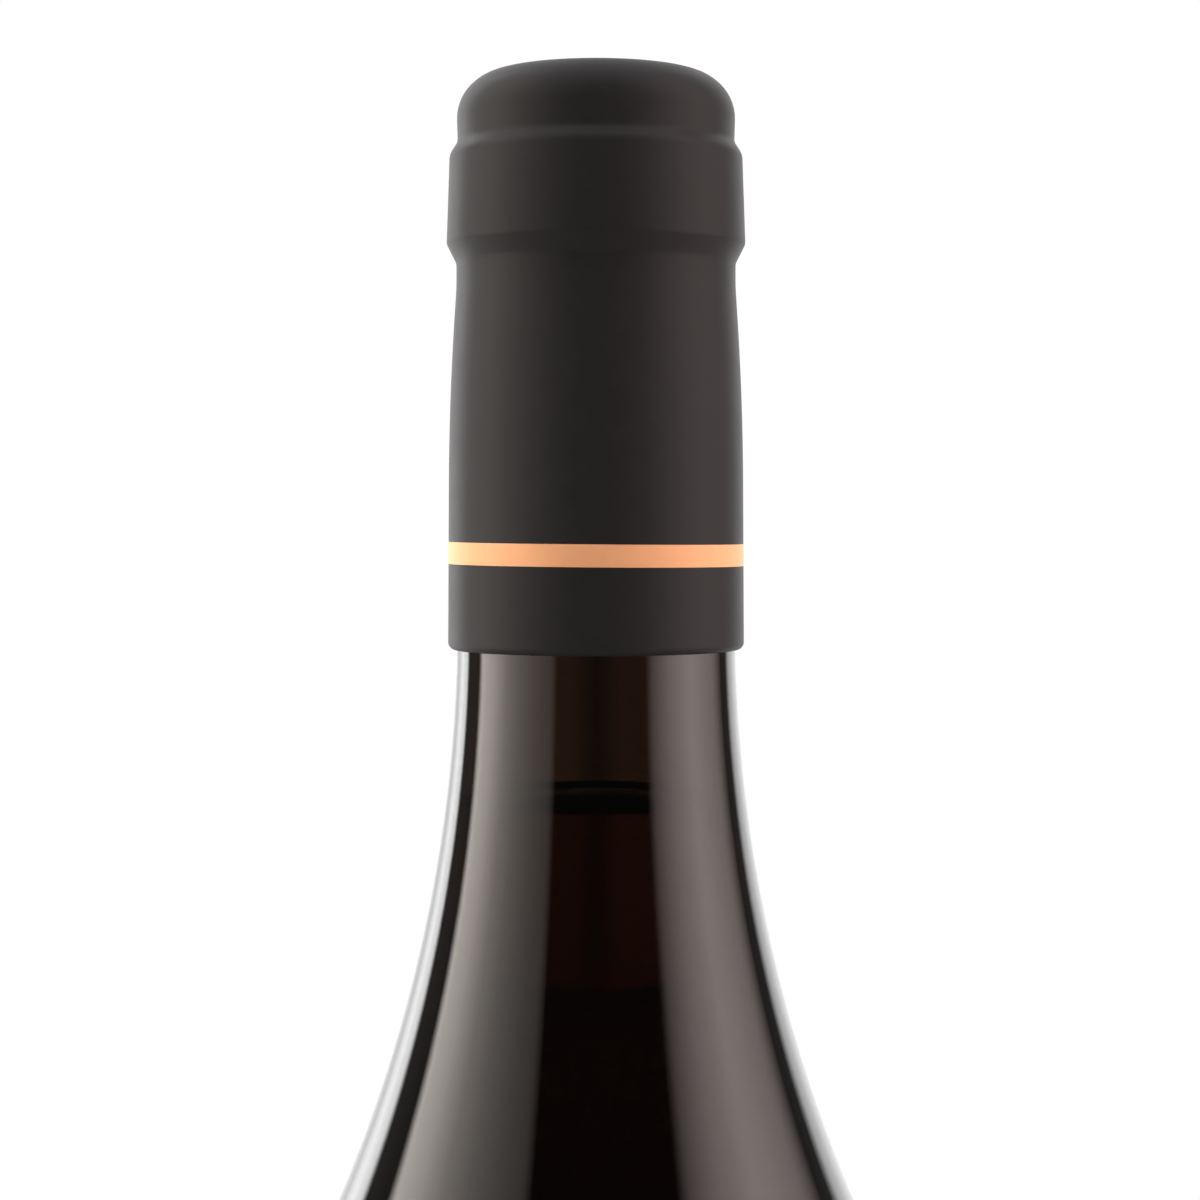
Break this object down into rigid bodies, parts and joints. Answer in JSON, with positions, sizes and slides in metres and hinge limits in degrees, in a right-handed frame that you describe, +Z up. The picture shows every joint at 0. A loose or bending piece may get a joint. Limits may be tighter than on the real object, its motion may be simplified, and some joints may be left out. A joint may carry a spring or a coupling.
{
  "type": "wine bottle",
  "caption": "Full wine bottle with sloping shoulders: dark amber glass with a punt, red wine up to the fill level, and a matte black capsule with a copper band over the neck.",
  "frame": {"origin": "centre of the ring the bottle stands on, at the surface it stands on", "axes": "+Z up along the bottle's axis, from the base to the capsule; the bottle is round, so +X and +Y are free"},
  "size_m": [0.0834, 0.0834, 0.2964],
  "materials": {
    "bottle_glass": "smooth dark amber soda-lime glass",
    "red_wine": "still, clear, very dark red wine",
    "capsule_skin": "matte black with a copper foil band"
  },
  "bodies": {
    "root": {"bottle": "bottle_glass", "wine": "red_wine", "capsule": "capsule_skin"}
  },
  "joints": []
}
